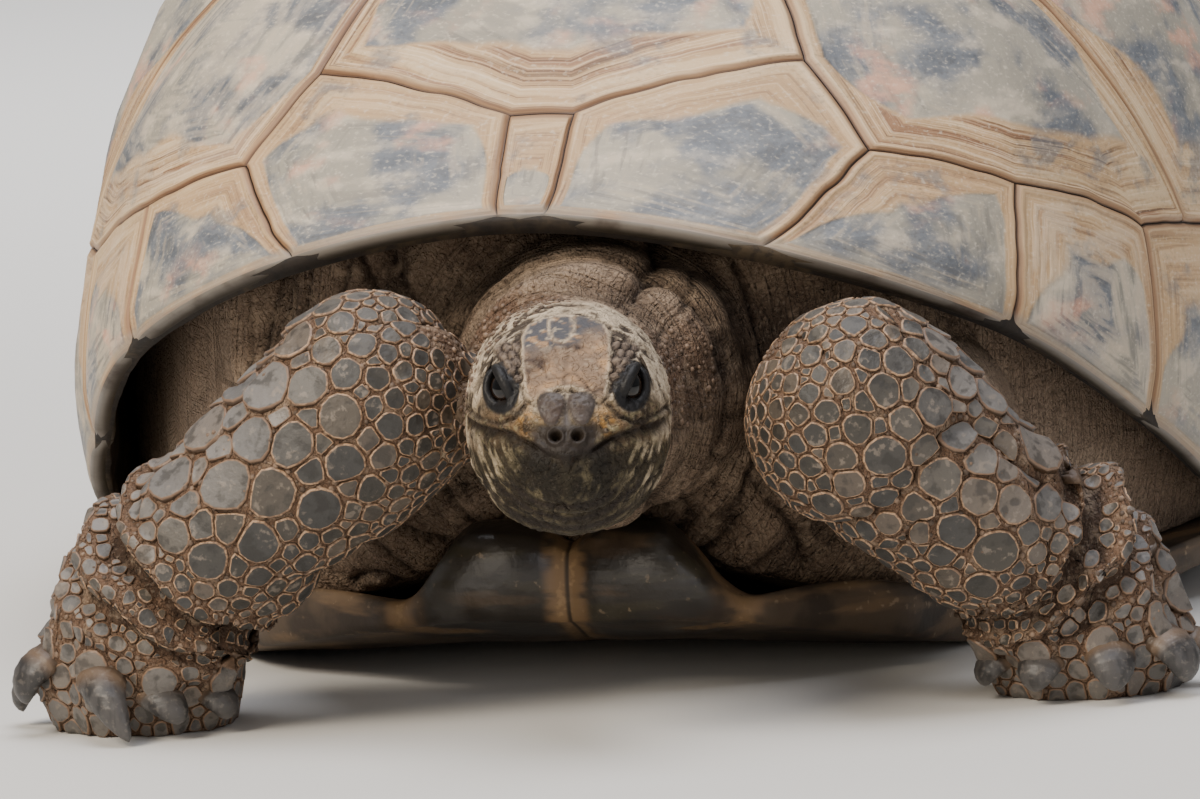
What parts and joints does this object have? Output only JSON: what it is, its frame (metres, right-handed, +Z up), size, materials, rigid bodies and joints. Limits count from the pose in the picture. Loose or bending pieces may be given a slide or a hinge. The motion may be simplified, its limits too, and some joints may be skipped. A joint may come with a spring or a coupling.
{
  "type": "giant tortoise",
  "caption": "Life-size still model of a giant tortoise lying on its plastron, forelegs splayed, head raised and facing forward under a high domed shell.",
  "frame": {"origin": "middle of the flat underside of the plastron, on the ground", "axes": "+Z up, the animal faces -Y, +X is the animal's left side"},
  "size_m": [0.7332, 1.2463, 0.5149],
  "materials": {
    "carapace_horn": "weathered horn, buff and blue-grey, growth-ringed",
    "plastron_horn": "worn dark horn with tan seams",
    "hide": "wrinkled dark brown-grey hide",
    "scaly_hide": "dark grey horny scales with tan rims",
    "head_hide": "tan and grey head shields, pale temples",
    "jaw_hide": "dark olive cracked throat skin",
    "eye": "wet black",
    "claw": "worn grey horn, tan at the root"
  },
  "bodies": {
    "root": {"carapace": "carapace_horn", "plastron": "plastron_horn", "torso": "hide", "neck": "hide", "head": "head_hide", "lower_jaw": "jaw_hide", "eye_left": "eye", "eye_right": "eye", "upper_arm_left": "hide", "upper_arm_right": "hide", "forearm_left": "scaly_hide", "forearm_right": "scaly_hide", "forefoot_left": "scaly_hide", "forefoot_right": "scaly_hide", "fore_claw_left_1": "claw", "fore_claw_left_2": "claw", "fore_claw_left_3": "claw", "fore_claw_left_4": "claw", "fore_claw_left_5": "claw", "fore_claw_right_1": "claw", "fore_claw_right_2": "claw", "fore_claw_right_3": "claw", "fore_claw_right_4": "claw", "fore_claw_right_5": "claw", "thigh_left": "hide", "thigh_right": "hide", "shank_left": "scaly_hide", "shank_right": "scaly_hide", "hind_foot_left": "scaly_hide", "hind_foot_right": "scaly_hide", "hind_claw_left_1": "claw", "hind_claw_left_2": "claw", "hind_claw_left_3": "claw", "hind_claw_left_4": "claw", "hind_claw_right_1": "claw", "hind_claw_right_2": "claw", "hind_claw_right_3": "claw", "hind_claw_right_4": "claw", "tail": "hide"}
  },
  "joints": []
}
